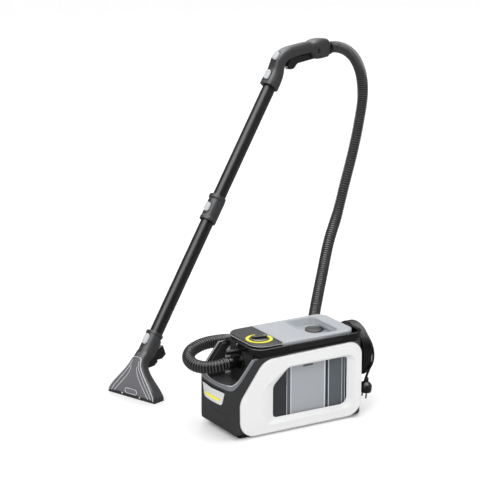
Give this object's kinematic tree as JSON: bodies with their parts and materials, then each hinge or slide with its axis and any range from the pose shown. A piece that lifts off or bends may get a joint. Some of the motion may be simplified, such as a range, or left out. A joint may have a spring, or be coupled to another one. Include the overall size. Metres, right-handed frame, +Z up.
{
  "type": "spray extraction carpet cleaner",
  "caption": "Compact spray-extraction carpet cleaner with a lift-out water tank, suction hose, jointed wand with spray handle and carpet nozzle, and mains lead.",
  "frame": {"origin": "on the floor, under the middle of the machine and its wand, without the hose and the mains lead", "axes": "+X from the front of the machine towards its cable hook, +Y from the side with the folded carrying handle towards the wand, +Z up"},
  "size_m": [1.0943, 0.8715, 0.9338],
  "materials": {
    "white_panel": "satin white moulded ABS",
    "anthracite": "fine-textured anthracite ABS",
    "gloss_black": "polished black plastic",
    "black_plastic": "satin black polypropylene",
    "lid_grey": "cool grey satin plastic",
    "silver_trim": "silver-grey lacquered plastic trim",
    "yellow_mark": "printed signal yellow",
    "clear_tank": "translucent blue-grey polycarbonate",
    "smoke_tank": "smoked translucent polycarbonate",
    "smoke_window": "clear smoked plastic window",
    "button_grey": "light grey soft-touch plastic",
    "rubber": "matte black rubber",
    "hose": "ribbed glossy black polyethylene",
    "cord": "black PVC cable sheath",
    "metal": "plated steel",
    "motor_metal": "cast aluminium"
  },
  "bodies": {
    "root": {"badge_bar": "yellow_mark", "badge_plate": "silver_trim", "base_pan": "black_plastic", "cable_gland": "rubber", "cable_hook": "anthracite", "control_panel": "gloss_black", "dial_mark": "yellow_mark", "fan_cover": "black_plastic", "foot_front_far": "rubber", "foot_front_near": "rubber", "foot_rear_far": "rubber", "foot_rear_near": "rubber", "front_shell": "anthracite", "handle_pin_front": "metal", "handle_pin_rear": "metal", "handle_shell": "anthracite", "head_housing": "anthracite", "hose_collar": "gloss_black", "hose_cuff": "gloss_black", "hose_port": "gloss_black", "lower_tube": "black_plastic", "mains_coil": "cord", "mains_lead": "cord", "mains_plug": "black_plastic", "nozzle_body": "anthracite", "nozzle_window": "smoke_window", "plug_pins": "metal", "plug_tail": "cord", "rear_shell": "anthracite", "scoop_trim": "silver_trim", "side_panel_far": "white_panel", "side_panel_near": "white_panel", "spray_duct_lower": "black_plastic", "spray_duct_upper": "black_plastic", "spray_fitting": "black_plastic", "spray_jet": "black_plastic", "spray_pump": "black_plastic", "suction_hose": "hose", "suction_motor": "motor_metal", "top_frame": "gloss_black", "trigger_pin": "metal", "tube_coupling": "anthracite", "upper_tube": "black_plastic"},
    "switch": {"switch_knob": "black_plastic"},
    "carry_handle": {"carrying_handle": "gloss_black", "handle_grip": "rubber"},
    "tank": {"fresh_water_tank": "clear_tank", "waste_water_tank": "smoke_tank", "float_cage": "black_plastic"},
    "float": {"float_ball": "white_panel"},
    "lid": {"tank_lid": "lid_grey", "float_cover": "black_plastic", "lid_basin": "lid_grey"},
    "rim_handle": {"tank_handle": "lid_grey"},
    "fan": {"fan_impeller": "motor_metal"},
    "trigger": {"spray_trigger": "black_plastic"},
    "nozzle_release": {"nozzle_button": "button_grey"},
    "coupling_release": {"coupling_button": "button_grey"},
    "handle_release": {"handle_button": "button_grey"},
    "spray_lock": {"spray_lock_button": "button_grey"}
  },
  "joints": [
    {"name": "switch_turn", "type": "hinge", "parent": "root", "child": "switch", "pos_m": [-0.22998, -0.32993, 0.262], "axis": [0, 0, 1], "range_deg": [0, 90]},
    {"name": "carry_handle_swing", "type": "hinge", "parent": "root", "child": "carry_handle", "pos_m": [-0.13398, -0.30393, 0.2438], "axis": [1, 0, 0], "range_deg": [-90, 0]},
    {"name": "tank_lift", "type": "slide", "parent": "root", "child": "tank", "axis": [0, 0, 1], "range_m": [0, 0.22]},
    {"name": "float_rise", "type": "slide", "parent": "tank", "child": "float", "axis": [0, 0, 1], "range_m": [0, 0.09]},
    {"name": "lid_lift", "type": "slide", "parent": "tank", "child": "lid", "axis": [0, 0, 1], "range_m": [0, 0.05]},
    {"name": "rim_handle_swing", "type": "hinge", "parent": "lid", "child": "rim_handle", "pos_m": [-0.04738, -0.30393, 0.255], "axis": [0, -1, 0], "range_deg": [0, 90]},
    {"name": "fan_spin", "type": "hinge", "parent": "root", "child": "fan", "pos_m": [-0.22498, -0.30393, 0.155], "axis": [0, 0, 1], "continuous": true},
    {"name": "trigger_squeeze", "type": "hinge", "parent": "root", "child": "trigger", "pos_m": [0.38248, 0.36168, 0.88], "axis": [-0.342, 0.9397, 0], "range_deg": [0, 5], "stiffness_Nm_per_rad": 2},
    {"name": "nozzle_button_push", "type": "slide", "parent": "root", "child": "nozzle_release", "axis": [0.7298, 0.2656, -0.63], "range_m": [0, 0.0025], "stiffness_N_per_m": 800},
    {"name": "coupling_button_push", "type": "slide", "parent": "root", "child": "coupling_release", "axis": [0.7298, 0.2656, -0.63], "range_m": [0, 0.0025], "stiffness_N_per_m": 800},
    {"name": "handle_button_push", "type": "slide", "parent": "root", "child": "handle_release", "axis": [0.7298, 0.2656, -0.63], "range_m": [0, 0.0025], "stiffness_N_per_m": 800},
    {"name": "spray_lock_push", "type": "slide", "parent": "root", "child": "spray_lock", "axis": [-0.6609, -0.2405, -0.7109], "range_m": [0, 0.0025], "stiffness_N_per_m": 800}
  ]
}
